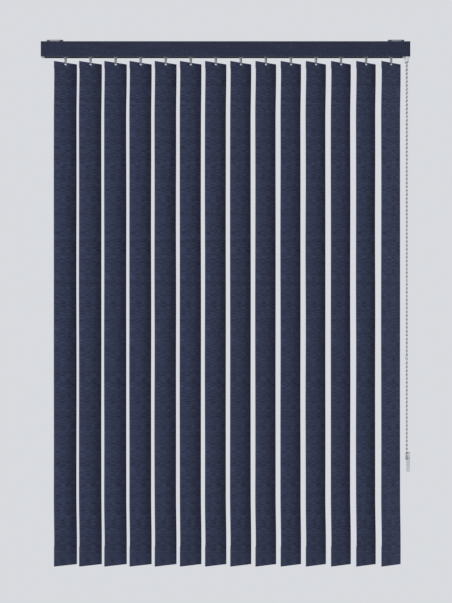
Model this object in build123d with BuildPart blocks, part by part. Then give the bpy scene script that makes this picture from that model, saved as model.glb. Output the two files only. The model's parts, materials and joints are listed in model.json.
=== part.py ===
"""A vertical blind with fourteen fabric louvers, a chain control and a fabric-faced headrail.

Millimetres. +X runs along the rail to the control side, +Y goes back towards the window and
+Z is up. The origin is the centre of the mounting face, which the two brackets press to a ceiling.
"""

from math import asin, atan2, cos, degrees, hypot, pi, radians, sin

from build123d import *
import os

os.makedirs("parts", exist_ok=True)

# ---------------------------------------------------------------- driving dimensions
louver_count = 14
louver_pitch = 77.0
louver_width = 89.0
louver_drop = 1546.0
tilt_at_rest = 44.0  # degrees between a louver and the rail
stack_pitch = 18.0  # from one carrier to the next when the blind is drawn open
last_axis_x = 509.0  # the anchored carrier beside the control

blind_length = 1132.0  # over the end cap and the control unit
cap_length = 9.0
control_length = 21.0
rail_depth = 35.0
rail_height = 46.0
rail_wall = 1.6

running = 0.05  # radial clearance of a shaft that turns in a bore
sliding = 0.3  # clearance of a piece that slides or passes by
fit = 0.1  # clearance of a plug or tongue in its seat

# brackets
bracket_spacing = 1048.0
bracket_length = 50.0
bracket_plate = 2.0
bracket_stand_off = 3.5
bracket_depth = 30.0
bracket_hole_r = 2.25
bracket_hole_spacing = 8.0
bracket_corner_r = 4.0
bracket_leg_length = 30.0
bracket_leg = 1.4  # thickness of its two legs and of the clips at their feet
bracket_clip_reach = 2.6
bracket_pad = 4.0

# headrail section
rail_top = -bracket_plate - bracket_stand_off
rail_bottom = rail_top - rail_height
top_slot = 18.0
bottom_slot = 13.0
web_depth = 26.0  # from the top of the rail down to its inner web
groove_height = 2.4
groove_depth = 1.0
groove_spacing = 30.0

# fascia
panel_thick = 2.0
panel_drop = 0.6  # how far its bottom lip shows below the rail
panel_edge_r = 0.8
fascia_cloth = 0.5
fascia_cloth_inset = 1.0  # from the top and bottom of the panel to the cloth

# carriers
carrier_length = 15.5
carrier_depth = 27.0
carrier_height = 16.1
carrier_floor = 2.5
gear_cavity_r = 5.6
gear_cavity_height = 6.8
rod_y = 7.7
rod_z_above_floor = 5.7  # rod axis above the bottom of the carrier
worm_cavity_r = 3.9
worm_cavity_length = 11.5
cord_recess = 4.9
keel_r = 5.5
keel_drop = 1.5
carrier_edge_r = 1.0

# spacer strips between carriers
strip_width = 7.0
strip_thick = 0.4
strip_levels = 5
strip_seat = 0.35  # from the channel's floor to the lowest strip
strip_step = 0.9
strip_overrun = 5.0
strip_ear_length = 4.0
strip_ear_width = 9.6
channel_depth = 5.0

# hooks
gear_r = 4.8
gear_teeth = 12
gear_height = 6.0
gear_tooth_height = 0.9
gear_tooth_width = 1.0
stem_r = 3.0
collar_r = 4.4
collar_height = 1.5
collar_gap = 0.8  # from the rail down to the collar
hook_thick = 4.6
hook_top_half = 4.0
hook_mid_half = 3.3
hook_tip_half = 1.7
hook_length = 22.5  # from the bottom of the rail to the tip
hook_taper = 4.0  # height of the flare at its top and of the start of its point
hook_nose = 2.0  # height of its chamfered tip
hook_nose_half = 1.0
fork_gap = 2.2
fork_over_louver = 1.0  # how far the gap goes on above the louver
rear_prong_short = 3.4
peg_height = 2.0
peg_width = 3.0
peg_above_tip = 0.8
peg_root = 0.5  # how deep the peg is joined to the front prong

# louvers
hook_to_louver_top = 16.5  # from the bottom of the rail
cloth = 0.4
pocket_thick = 1.8
top_pocket = 24.0
bottom_pocket = 65.0
eye_width = 9.0
eye_height = 4.6
hanger_length = 78.0
hanger_height = 20.0
weight_length = 84.0
weight_height = 58.0
insert_thick = 0.8

# tilt rod and control
rod_r = 2.5
rod_groove_width = 0.9
rod_groove_depth = 0.5
rod_grooves = 4
chain_from_end = 8.6
wheel_below_top = 21.5
bead_pitch = 12.0
bead_r = 2.25
wheel_pockets = 7
wheel_width = 8.6
wheel_flange = 1.5  # over the centre of the beads
axle_r = 2.5
train_wheel_teeth = 22
train_pinion_teeth = 8
train_width = 3.6
hub_r = 9.5  # of the hub between the train wheel and the chain wheel
tooth_addendum = 0.75
tooth_dedendum = 1.0
tooth_overlap = 0.5  # how far a tooth starts inside the root circle
tooth_base_share = 0.4
tooth_tip_share = 0.22
housing_wall = 1.6
housing_end_wall = 2.0
guide_length = 16.0
guide_width = 10.0
guide_corner_r = 2.0
strand_gap = 0.85  # between a bead and the bore that it hangs through

# cord pulleys in the rail ends
pulley_r = 5.5
pulley_width = 4.4
pulley_groove_r = 1.2
pulley_pin_r = 1.5
pulley_from_rail_end = 7.0
ear_thick = 1.6
ear_length = 15.0
boss_r = 5.0
boss_length = 9.0

# chain tidy
tidy_pulley_r = 9.0  # to the centre of the beads
tidy_pulley_flange = 0.6
tidy_pulley_width = 5.6
tidy_gap = 0.2  # on each side of the pulley
tidy_pin_r = 2.5
chain_drop = 1226.0  # from the bottom of the rail to the tidy pulley's axis
tidy_depth = 26.0
tidy_cover = 1.0
tidy_plate_face = 9.0  # from the plane of the chain to the reveal
tidy_foot_length = 34.0
tidy_foot_width = 10.0
tidy_foot_depth = 17.0
tidy_corner_r = 3.0
tidy_hole_r = 2.1
tidy_hole_spacing = 18.0
connector_above_tidy = 300.0
connector_r = 3.2
connector_length = 12.0
connector_edge_r = 0.8

# ---------------------------------------------------------------- places that follow
half_blind = blind_length / 2
rail_left = -half_blind + cap_length
rail_right = half_blind - control_length
rail_length = rail_right - rail_left
rail_half_depth = rail_depth / 2
ledge_z = rail_bottom + rail_wall
web_z = rail_top - web_depth
axis_x = [last_axis_x - louver_pitch * (louver_count - 1 - i) for i in range(louver_count)]

carrier_z = ledge_z + sliding
carrier_top = carrier_z + carrier_height
gear_z = carrier_z + carrier_floor
rod_z = carrier_z + rod_z_above_floor
channel_z = carrier_top - channel_depth
cord_y = -carrier_depth / 2 + cord_recess / 2 + sliding
cord_z = carrier_z + carrier_height / 2

louver_top = rail_bottom - hook_to_louver_top
louver_bottom = louver_top - louver_drop
hook_tip = rail_bottom - hook_length
peg_z = hook_tip + peg_above_tip

chain_x = half_blind - chain_from_end
strand_bore_r = bead_r + strand_gap
wheel_r = wheel_pockets * bead_pitch / (2 * pi)
wheel_z = rail_top - wheel_below_top
train_distance = hypot(rod_y, rod_z - wheel_z)
train_angle = degrees(atan2(rod_z - wheel_z, rod_y))
train_module = 2 * train_distance / (train_wheel_teeth + train_pinion_teeth)
train_wheel_r = train_module * train_wheel_teeth / 2
train_pinion_r = train_module * train_pinion_teeth / 2
train_x = rail_right + housing_end_wall + sliding
tidy_z = rail_bottom - chain_drop
print("travel of the first carrier", (louver_count - 1) * (louver_pitch - stack_pitch))


def save(piece, name):
    """Labels a finished piece and writes it as one STEP file."""
    piece.part.label = name
    export_step(piece.part, f"parts/{name}.step")


def across(x):
    """The plane across the rail at x: its local axes are Y and Z, and its normal is +X."""
    return Plane.YZ.offset(x)


def level(z):
    """The level plane at z."""
    return Plane.XY.offset(z)


# ---------------------------------------------------------------- headrail
rail_middle_z = (rail_top + rail_bottom) / 2
inner_depth = rail_depth - 2 * rail_wall
upper_height = web_depth - rail_wall
lower_height = rail_height - web_depth - 2 * rail_wall

with BuildPart() as headrail:
    with BuildSketch(across(rail_left)):
        with Locations((0, rail_middle_z)):
            Rectangle(rail_depth, rail_height)
        with Locations((0, web_z + upper_height / 2)):
            Rectangle(inner_depth, upper_height, mode=Mode.SUBTRACT)
        with Locations((0, ledge_z + lower_height / 2)):
            Rectangle(inner_depth, lower_height, mode=Mode.SUBTRACT)
        with Locations((0, rail_top - rail_wall / 2)):
            Rectangle(top_slot, 2 * rail_wall, mode=Mode.SUBTRACT)
        with Locations((0, rail_bottom + rail_wall / 2)):
            Rectangle(bottom_slot, 2 * rail_wall, mode=Mode.SUBTRACT)
        with Locations(
            (-rail_half_depth, rail_middle_z + groove_spacing / 2),
            (-rail_half_depth, rail_middle_z - groove_spacing / 2),
        ):
            Rectangle(2 * groove_depth, groove_height, mode=Mode.SUBTRACT)
    extrude(amount=rail_length)
save(headrail, "headrail")

# ---------------------------------------------------------------- fascia
panel_height = rail_height + panel_drop
panel_z = rail_top - panel_height / 2
with BuildPart() as fascia_panel:
    with BuildSketch(across(-half_blind)):
        with Locations((-rail_half_depth - panel_thick / 2, panel_z)):
            Rectangle(panel_thick, panel_height)
        with Locations(
            (-rail_half_depth, rail_middle_z + groove_spacing / 2),
            (-rail_half_depth, rail_middle_z - groove_spacing / 2),
        ):
            Rectangle(2 * (groove_depth - fit), groove_height - 2 * fit)
    extrude(amount=blind_length)
    # the tongues stop short of the two end mouldings, which have no grooves
    with BuildSketch(across(-half_blind)):
        with Locations((-rail_half_depth + groove_depth, panel_z)):
            Rectangle(2 * groove_depth, panel_height)
    extrude(amount=cap_length + fit, mode=Mode.SUBTRACT)
    with BuildSketch(across(rail_right - fit)):
        with Locations((-rail_half_depth + groove_depth, panel_z)):
            Rectangle(2 * groove_depth, panel_height)
    extrude(amount=control_length + fit, mode=Mode.SUBTRACT)
    fillet(fascia_panel.edges().filter_by(Axis.X).group_by(Axis.Y)[0], panel_edge_r)
save(fascia_panel, "fascia_panel")

cloth_height = panel_height - 2 * fascia_cloth_inset
with BuildPart() as fascia_fabric:
    with BuildSketch(across(-half_blind)):
        with Locations((-rail_half_depth - panel_thick - fascia_cloth / 2, panel_z)):
            Rectangle(fascia_cloth, cloth_height)
    extrude(amount=blind_length)
save(fascia_fabric, "fascia_fabric")

# ---------------------------------------------------------------- mounting brackets
bracket_places = [(-bracket_spacing / 2, 0), (bracket_spacing / 2, 0)]
leg_y = top_slot / 2 - sliding - bracket_leg / 2
clip_y = top_slot / 2 - sliding + bracket_clip_reach / 2
clip_z = rail_top - rail_wall - bracket_leg
pad_y = (bracket_depth - bracket_pad) / 2
with BuildPart() as mounting_brackets:
    with BuildSketch(level(-bracket_plate)):
        with Locations(*bracket_places):
            RectangleRounded(bracket_length, bracket_depth, bracket_corner_r)
    extrude(amount=bracket_plate)
    # pads that sit on the rail, legs through its top slot, and clips under its lips
    with BuildSketch(level(rail_top)):
        with Locations(*bracket_places):
            with GridLocations(1, 2 * pad_y, 1, 2):
                Rectangle(bracket_leg_length, bracket_pad)
    extrude(amount=bracket_stand_off)
    with BuildSketch(level(clip_z)):
        with Locations(*bracket_places):
            with GridLocations(1, 2 * leg_y, 1, 2):
                Rectangle(bracket_leg_length, bracket_leg)
    extrude(amount=-bracket_plate - clip_z)
    with BuildSketch(level(clip_z)):
        with Locations(*bracket_places):
            with GridLocations(1, 2 * clip_y, 1, 2):
                Rectangle(bracket_leg_length, bracket_clip_reach)
    extrude(amount=bracket_leg)
    with Locations(*bracket_places):
        with GridLocations(1, bracket_hole_spacing, 1, 2):
            Hole(bracket_hole_r)
save(mounting_brackets, "mounting_brackets")


# ---------------------------------------------------------------- end mouldings
def end_outline():
    """The outside of an end moulding, the same as the rail's."""
    with Locations((0, rail_middle_z)):
        Rectangle(rail_depth, rail_height)


cavity_depth = rail_depth - 2 * housing_wall
cavity_height = rail_height - 2 * housing_wall
ear_height = 2 * (pulley_r + ear_thick)
ear_near = cord_y - pulley_width / 2 - sliding - ear_thick / 2
ear_far = cord_y + pulley_width / 2 + sliding + ear_thick / 2
cap_inside = -half_blind + housing_end_wall
pin_start = ear_far + ear_thick
pin_bore = ear_far - ear_near + 2 * ear_thick
idle_x = rail_left + pulley_from_rail_end

with BuildPart() as end_cap:
    with BuildSketch(across(-half_blind)):
        end_outline()
    extrude(amount=cap_length)
    with BuildSketch(across(-half_blind + housing_end_wall)):
        with Locations((0, rail_middle_z)):
            Rectangle(cavity_depth, cavity_height)
    extrude(amount=cap_length, mode=Mode.SUBTRACT)
    # ears that carry the idle pulley
    with BuildSketch(across(cap_inside)):
        with Locations((ear_near, cord_z), (ear_far, cord_z)):
            Rectangle(ear_thick, ear_height)
    extrude(amount=cap_length - housing_end_wall + ear_length)
    # the boss that the tilt rod turns in
    with BuildSketch(across(cap_inside)):
        with Locations((rod_y, rod_z)):
            Circle(boss_r)
    extrude(amount=boss_length)
    with BuildSketch(across(cap_inside)):
        with Locations((rod_y, rod_z)):
            Circle(rod_r + running)
    extrude(amount=boss_length, mode=Mode.SUBTRACT)
    with BuildSketch(Plane.XZ.offset(-pin_start)):
        with Locations((idle_x, cord_z)):
            Circle(pulley_pin_r)
    extrude(amount=pin_bore, mode=Mode.SUBTRACT)
save(end_cap, "end_cap")

drive_x = rail_right - pulley_from_rail_end
floor_bores = [(chain_x, -wheel_r), (chain_x, wheel_r)]
with BuildPart() as control_housing:
    with BuildSketch(across(rail_right)):
        end_outline()
    extrude(amount=control_length)
    with BuildSketch(across(rail_right + housing_end_wall)):
        with Locations((0, rail_middle_z)):
            Rectangle(cavity_depth, cavity_height)
    extrude(amount=control_length - 2 * housing_end_wall, mode=Mode.SUBTRACT)
    # the strands of the chain hang just inside its front and back walls
    with BuildSketch(level(ledge_z)):
        with Locations(*floor_bores):
            Circle(bead_r + running)
    extrude(amount=wheel_z + bead_r - ledge_z, mode=Mode.SUBTRACT)
    with BuildSketch(across(rail_right - ear_length)):
        with Locations((ear_near, cord_z), (ear_far, cord_z)):
            Rectangle(ear_thick, ear_height)
    extrude(amount=ear_length)
    with BuildSketch(across(rail_right)):
        with Locations((rod_y, rod_z)):
            Circle(rod_r + running)
    extrude(amount=housing_end_wall, mode=Mode.SUBTRACT)
    # the stub that the chain wheel turns on
    with BuildSketch(across(train_x)):
        with Locations((0, wheel_z)):
            Circle(axle_r)
    extrude(amount=half_blind - housing_end_wall - train_x)
    with BuildSketch(level(rail_bottom)):
        with Locations(*floor_bores):
            Circle(strand_bore_r)
    extrude(amount=housing_wall, mode=Mode.SUBTRACT)
    with BuildSketch(Plane.XZ.offset(-pin_start)):
        with Locations((drive_x, cord_z)):
            Circle(pulley_pin_r)
    extrude(amount=pin_bore, mode=Mode.SUBTRACT)
save(control_housing, "control_housing")


# ---------------------------------------------------------------- cord pulleys
def cord_pulley(x):
    """A grooved pulley that turns on a level pin across the rail."""
    with BuildPart() as pulley:
        with BuildSketch(Plane.XZ.offset(-cord_y - pulley_width / 2)):
            with Locations((x, cord_z)):
                Circle(pulley_r)
                Circle(pulley_pin_r + running, mode=Mode.SUBTRACT)
        extrude(amount=pulley_width)
        groove = Plane(origin=(x, cord_y, cord_z), x_dir=(1, 0, 0), z_dir=(0, 0, 1))
        with BuildSketch(groove):
            with Locations((pulley_r, 0)):
                Circle(pulley_groove_r)
        revolve(axis=Axis((x, cord_y, cord_z), (0, 1, 0)), mode=Mode.SUBTRACT)
    return pulley


save(cord_pulley(idle_x), "idle_pulley")
save(cord_pulley(drive_x), "drive_pulley")

with BuildPart() as pulley_pins:
    with BuildSketch(Plane.XZ.offset(-ear_far - ear_thick / 2)):
        with Locations((idle_x, cord_z), (drive_x, cord_z)):
            Circle(pulley_pin_r)
    extrude(amount=ear_far - ear_near + ear_thick)
save(pulley_pins, "pulley_pins")

# ---------------------------------------------------------------- tilt rod
rod_start = cap_inside
rod_end = train_x + train_width
with BuildPart() as tilt_rod:
    with BuildSketch(across(rod_start)):
        with Locations((rod_y, rod_z)):
            Circle(rod_r)
            with PolarLocations(rod_r, rod_grooves):
                Rectangle(2 * rod_groove_depth, rod_groove_width, mode=Mode.SUBTRACT)
    extrude(amount=rod_end - rod_start)
save(tilt_rod, "tilt_rod")


# ---------------------------------------------------------------- gear train and chain wheel
def toothed_disc(centre, pitch_r, teeth, phase):
    """A spur gear's outline, with a tooth's middle at the phase angle."""
    root_r = pitch_r - tooth_dedendum
    tip_r = pitch_r + tooth_addendum
    start_r = root_r - tooth_overlap
    pitch_length = 2 * pi * pitch_r / teeth
    base = pitch_length * tooth_base_share
    tip = pitch_length * tooth_tip_share
    with Locations(centre):
        Circle(root_r)
        with PolarLocations(0, teeth, start_angle=phase):
            Polygon(
                (start_r, -base / 2),
                (tip_r, -tip / 2),
                (tip_r, tip / 2),
                (start_r, base / 2),
                align=None,
            )


wheel_rim = wheel_r + wheel_flange
groove_r = bead_r + sliding
pocket_r = bead_r + 3 * sliding
wheel_bore_r = axle_r + running
hub_length = chain_x - train_x
with BuildPart() as chain_wheel:
    with BuildSketch(Plane(origin=(0, 0, wheel_z), x_dir=(1, 0, 0), z_dir=(0, 0, 1))):
        with Locations((chain_x, wheel_rim / 2)):
            Rectangle(wheel_width, wheel_rim)
        with Locations((train_x + hub_length / 2, hub_r / 2)):
            Rectangle(hub_length, hub_r)
        with Locations((chain_x, wheel_r)):
            Circle(groove_r, mode=Mode.SUBTRACT)
        with Locations((chain_x, wheel_r + groove_r)):
            Rectangle(2 * groove_r, 2 * groove_r, mode=Mode.SUBTRACT)
        with Locations((chain_x, 0)):
            Rectangle(4 * wheel_width, 2 * wheel_bore_r, mode=Mode.SUBTRACT)
    revolve(axis=Axis((0, 0, wheel_z), (1, 0, 0)))
    with BuildSketch(across(train_x)):
        toothed_disc((0, wheel_z), train_wheel_r, train_wheel_teeth, train_angle + 180 / train_wheel_teeth)
        with Locations((0, wheel_z)):
            Circle(wheel_bore_r, mode=Mode.SUBTRACT)
    extrude(amount=train_width)
    # a pocket for each bead that the wheel carries
    with BuildSketch(across(chain_x - pocket_r)):
        with Locations((0, wheel_z)):
            with PolarLocations(wheel_r, wheel_pockets):
                Circle(pocket_r)
    extrude(amount=2 * pocket_r, mode=Mode.SUBTRACT)
save(chain_wheel, "chain_wheel")

with BuildPart() as rod_gear:
    with BuildSketch(across(train_x)):
        toothed_disc((rod_y, rod_z), train_pinion_r, train_pinion_teeth, train_angle + 180)
        with Locations((rod_y, rod_z)):
            Circle(rod_r, mode=Mode.SUBTRACT)
    extrude(amount=train_width)
save(rod_gear, "rod_gear")

with BuildPart() as chain_guide:
    with BuildSketch(level(rail_bottom)):
        with Locations((chain_x, 0)):
            RectangleRounded(guide_width, rail_depth, guide_corner_r)
        with Locations(*floor_bores):
            Circle(strand_bore_r, mode=Mode.SUBTRACT)
    extrude(amount=-guide_length)
save(chain_guide, "chain_guide")


# ---------------------------------------------------------------- carriers
def strip_z(i):
    """The underside of spacer strip i, on its own level so that strips pass each other."""
    return channel_z + strip_seat + (i % strip_levels) * strip_step


def carrier(i):
    """Carrier i: the housing, and from the second one on its spacer strip."""
    x = axis_x[i]
    start = x - carrier_length / 2
    with BuildPart() as piece:
        with BuildSketch(across(start)):
            with Locations((0, carrier_z + carrier_height / 2)):
                Rectangle(carrier_depth, carrier_height)
            with Locations((0, carrier_top)):
                Rectangle(strip_width + 2 * sliding, 2 * channel_depth, mode=Mode.SUBTRACT)
            with Locations((-carrier_depth / 2, cord_z)):
                Rectangle(2 * cord_recess, 2 * pulley_r + 2 * sliding, mode=Mode.SUBTRACT)
            with Locations((rod_y, rod_z)):
                Circle(rod_r + sliding, mode=Mode.SUBTRACT)
        extrude(amount=carrier_length)
        fillet(piece.edges().filter_by(Axis.Z).group_by(Axis.Y)[-1], carrier_edge_r)
        with BuildSketch(level(carrier_z)):
            with Locations((x, 0)):
                Circle(keel_r)
        extrude(amount=-keel_drop)
        with BuildSketch(level(gear_z)):
            with Locations((x, 0)):
                Circle(gear_cavity_r)
        extrude(amount=gear_cavity_height, mode=Mode.SUBTRACT)
        with BuildSketch(across(x - worm_cavity_length / 2)):
            with Locations((rod_y, rod_z)):
                Circle(worm_cavity_r)
        extrude(amount=worm_cavity_length, mode=Mode.SUBTRACT)
        with BuildSketch(level(carrier_z - keel_drop)):
            with Locations((x, 0)):
                Circle(stem_r + running)
        extrude(amount=keel_drop + carrier_floor, mode=Mode.SUBTRACT)
        if i > 0:
            with BuildSketch(level(strip_z(i) - running)):
                with Locations((x, 0)):
                    Rectangle(strip_ear_length + 2 * running, strip_ear_width + 2 * fit)
            extrude(amount=strip_thick + 2 * running, mode=Mode.SUBTRACT)
            reach = louver_pitch + strip_overrun
            with BuildSketch(level(strip_z(i))):
                with Locations((x + strip_ear_length / 2 - reach / 2, 0)):
                    Rectangle(reach, strip_width)
                with Locations((x, 0)):
                    Rectangle(strip_ear_length, strip_ear_width)
            extrude(amount=strip_thick, mode=Mode.ADD)
    return piece


for i in range(louver_count):
    save(carrier(i), f"carrier_{i + 1:02d}")


# ---------------------------------------------------------------- hooks and louvers
def along_louver(x):
    """The upright plane of a louver: local x runs along its width, local y is up."""
    tilt = radians(tilt_at_rest)
    return Plane(origin=(x, 0, 0), x_dir=(cos(tilt), sin(tilt), 0), z_dir=(sin(tilt), -cos(tilt), 0))


def over_louver(x, z):
    """The level plane at z, turned so that local x runs along the louver's width."""
    tilt = radians(tilt_at_rest)
    return Plane(origin=(x, 0, z), x_dir=(cos(tilt), sin(tilt), 0), z_dir=(0, 0, 1))


def hook(x):
    """A hook: the wheel that the worm turns, its stem, and the fork that holds a louver."""
    gear_root = gear_r - gear_tooth_height
    collar_z = rail_bottom - collar_gap
    body_z = collar_z - collar_height
    fork_top = louver_top + fork_over_louver
    fork_height = fork_top - hook_tip + fork_over_louver
    with BuildPart() as piece:
        with BuildSketch(over_louver(x, gear_z + fit)):
            Circle(gear_root)
            with PolarLocations(gear_root, gear_teeth):
                Rectangle(2 * gear_tooth_height, gear_tooth_width)
        extrude(amount=gear_height)
        with BuildSketch(over_louver(x, gear_z + fit)):
            Circle(stem_r)
        extrude(amount=collar_z - gear_z - fit)
        with BuildSketch(over_louver(x, collar_z)):
            Circle(collar_r)
        extrude(amount=-collar_height)
        with BuildSketch(along_louver(x).offset(-hook_thick / 2)):
            with BuildLine():
                Polyline(
                    (-hook_top_half, body_z),
                    (-hook_mid_half, body_z - hook_taper),
                    (-hook_mid_half, louver_top + hook_taper),
                    (-hook_tip_half, hook_tip + hook_nose),
                    (-hook_nose_half, hook_tip),
                    (hook_nose_half, hook_tip),
                    (hook_tip_half, hook_tip + hook_nose),
                    (hook_mid_half, louver_top + hook_taper),
                    (hook_mid_half, body_z - hook_taper),
                    (hook_top_half, body_z),
                    close=True,
                )
            make_face()
        extrude(amount=hook_thick)
        # the gap that the louver's top goes up into
        with BuildSketch(along_louver(x).offset(-fork_gap / 2)):
            with Locations((0, fork_top - fork_height / 2)):
                Rectangle(4 * hook_top_half, fork_height)
        extrude(amount=fork_gap, mode=Mode.SUBTRACT)
        # the rear prong is shorter
        with BuildSketch(along_louver(x).offset(-hook_thick)):
            with Locations((0, hook_tip)):
                Rectangle(4 * hook_top_half, 2 * rear_prong_short)
        extrude(amount=hook_thick, mode=Mode.SUBTRACT)
        # the peg that the louver hangs on
        with BuildSketch(along_louver(x).offset(fork_gap / 2 + peg_root)):
            with Locations((0, peg_z + peg_height / 2)):
                Rectangle(peg_width, peg_height)
        extrude(amount=-fork_gap - peg_root)
    return piece


def louver(x):
    """A louver: the cloth with its two pockets, the hanger in the top one, the weight below."""
    insert_gap = pocket_thick - 2 * cloth
    eye_z = peg_z + peg_height - eye_height / 2
    with BuildPart() as piece:
        # one layer from top to bottom, then a second layer over each pocket
        with BuildSketch(along_louver(x).offset(pocket_thick / 2 - cloth)):
            with Locations((0, (louver_top + louver_bottom) / 2)):
                Rectangle(louver_width, louver_drop)
        extrude(amount=cloth)
        for top, height in ((louver_top, top_pocket), (louver_bottom + bottom_pocket, bottom_pocket)):
            with BuildSketch(along_louver(x).offset(-pocket_thick / 2)):
                with Locations((0, top - height / 2)):
                    Rectangle(louver_width, height)
            extrude(amount=pocket_thick)
            with BuildSketch(along_louver(x).offset(-insert_gap / 2)):
                with Locations((0, top - height / 2)):
                    Rectangle(louver_width + 2 * cloth, height - 2 * cloth)
            extrude(amount=insert_gap, mode=Mode.SUBTRACT)
        with BuildSketch(along_louver(x).offset(-pocket_thick)):
            with Locations((0, eye_z)):
                Rectangle(eye_width, eye_height)
        extrude(amount=2 * pocket_thick, mode=Mode.SUBTRACT)
        inserts = (
            (louver_top - cloth - fit, hanger_length, hanger_height),
            (louver_bottom + cloth + fit + weight_height, weight_length, weight_height),
        )
        for top, length, height in inserts:
            with BuildSketch(along_louver(x).offset(-insert_thick / 2)):
                with Locations((0, top - height / 2)):
                    Rectangle(length, height)
                with Locations((0, eye_z)):
                    Rectangle(eye_width, eye_height, mode=Mode.SUBTRACT)
            extrude(amount=insert_thick)
    return piece


for i in range(louver_count):
    save(hook(axis_x[i]), f"hook_{i + 1:02d}")
    save(louver(axis_x[i]), f"louver_{i + 1:02d}")

# ---------------------------------------------------------------- control chain
lean = asin((wheel_r - tidy_pulley_r) / (wheel_z - tidy_z))


def leaves(radius, centre_z, side):
    """Where a strand leaves a pulley, as (y, z): side is 1 at the back and -1 at the front."""
    return (side * radius * cos(lean), centre_z - radius * sin(lean))


def up_the_back(distance):
    """A point on the back strand, that far above the tidy's pulley."""
    y, z = leaves(tidy_pulley_r, tidy_z, 1)
    return (y + distance * sin(lean), z + distance * cos(lean))


chain_start = up_the_back(connector_above_tidy + connector_length / 2)
chain_finish = up_the_back(connector_above_tidy - connector_length / 2)
strand_direction = (0, sin(lean), cos(lean))

with BuildPart() as control_chain:
    with BuildLine(across(chain_x)) as chain_route:
        Line(chain_start, leaves(wheel_r, wheel_z, 1))
        ThreePointArc(leaves(wheel_r, wheel_z, 1), (0, wheel_z + wheel_r), leaves(wheel_r, wheel_z, -1))
        Line(leaves(wheel_r, wheel_z, -1), leaves(tidy_pulley_r, tidy_z, -1))
        ThreePointArc(
            leaves(tidy_pulley_r, tidy_z, -1),
            (0, tidy_z - tidy_pulley_r),
            leaves(tidy_pulley_r, tidy_z, 1),
        )
        Line(leaves(tidy_pulley_r, tidy_z, 1), chain_finish)
    with BuildSketch(Plane(origin=(chain_x, *chain_start), z_dir=strand_direction)):
        Circle(bead_r)
    sweep()
save(control_chain, "control_chain")
chain_length = chain_route.wire().length
print("chain length", chain_length, "volume", control_chain.part.volume)
print("section times length", pi * bead_r**2 * chain_length)

with BuildPart() as chain_connector:
    with BuildSketch(Plane(origin=(chain_x, *chain_finish), z_dir=strand_direction)):
        Circle(connector_r)
    extrude(amount=connector_length)
    fillet(chain_connector.edges().filter_by(GeomType.CIRCLE), connector_edge_r)
save(chain_connector, "chain_connector")

# ---------------------------------------------------------------- chain tidy
reveal_x = chain_x + tidy_plate_face
tidy_inner = chain_x + tidy_pulley_width / 2 + tidy_gap
cover_x = chain_x - tidy_pulley_width / 2 - tidy_gap
foot_top = tidy_z
foot_bottom = tidy_z - tidy_depth / 2 - tidy_foot_length
foot_middle = tidy_z - tidy_depth / 2 - tidy_foot_length / 2
with BuildPart() as tidy_body:
    with BuildSketch(across(tidy_inner)):
        with Locations((0, tidy_z)):
            Circle(tidy_depth / 2)
        with Locations((0, (foot_top + foot_bottom) / 2)):
            Rectangle(tidy_foot_depth, foot_top - foot_bottom)
    extrude(amount=reveal_x - tidy_inner)
    # the foot stands out under the pulley
    with BuildSketch(across(reveal_x - tidy_foot_width)):
        with Locations((0, foot_middle)):
            Rectangle(tidy_foot_depth, tidy_foot_length)
    extrude(amount=tidy_foot_width)
    fillet(tidy_body.edges().filter_by(Axis.X).group_by(Axis.Z)[0], tidy_corner_r)
    # the pin that the pulley turns on
    with BuildSketch(across(cover_x - tidy_cover)):
        with Locations((0, tidy_z)):
            Circle(tidy_pin_r)
    extrude(amount=tidy_inner - cover_x + tidy_cover)
    with BuildSketch(across(reveal_x - tidy_foot_width)):
        with Locations((0, foot_middle)):
            with GridLocations(1, tidy_hole_spacing, 1, 2):
                Circle(tidy_hole_r)
    extrude(amount=tidy_foot_width, mode=Mode.SUBTRACT)
save(tidy_body, "tidy_body")

tidy_rim = tidy_pulley_r + tidy_pulley_flange
with BuildPart() as tidy_pulley:
    with BuildSketch(across(chain_x - tidy_pulley_width / 2)):
        with Locations((0, tidy_z)):
            Circle(tidy_rim)
            Circle(tidy_pin_r + running, mode=Mode.SUBTRACT)
    extrude(amount=tidy_pulley_width)
    with BuildSketch(Plane(origin=(chain_x, 0, tidy_z), x_dir=(1, 0, 0), z_dir=(0, 0, 1))):
        with Locations((0, tidy_pulley_r)):
            Circle(groove_r)
        with Locations((0, tidy_pulley_r + groove_r)):
            Rectangle(2 * groove_r, 2 * groove_r)
    revolve(axis=Axis((chain_x, 0, tidy_z), (1, 0, 0)), mode=Mode.SUBTRACT)
save(tidy_pulley, "tidy_pulley")

with BuildPart() as tidy_cover_disc:
    with BuildSketch(across(cover_x)):
        with Locations((0, tidy_z)):
            Circle(tidy_depth / 2)
            Circle(tidy_pin_r, mode=Mode.SUBTRACT)
    extrude(amount=-tidy_cover)
save(tidy_cover_disc, "tidy_cover")
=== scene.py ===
# %% [markdown]
# # A vertical blind
# Fourteen cloth louvers hang from a cloth-faced headrail and are turned by a looped bead chain.
# Everything made here is worked out from those parts, so nothing has to be fitted by eye.

import json
import math

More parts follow.
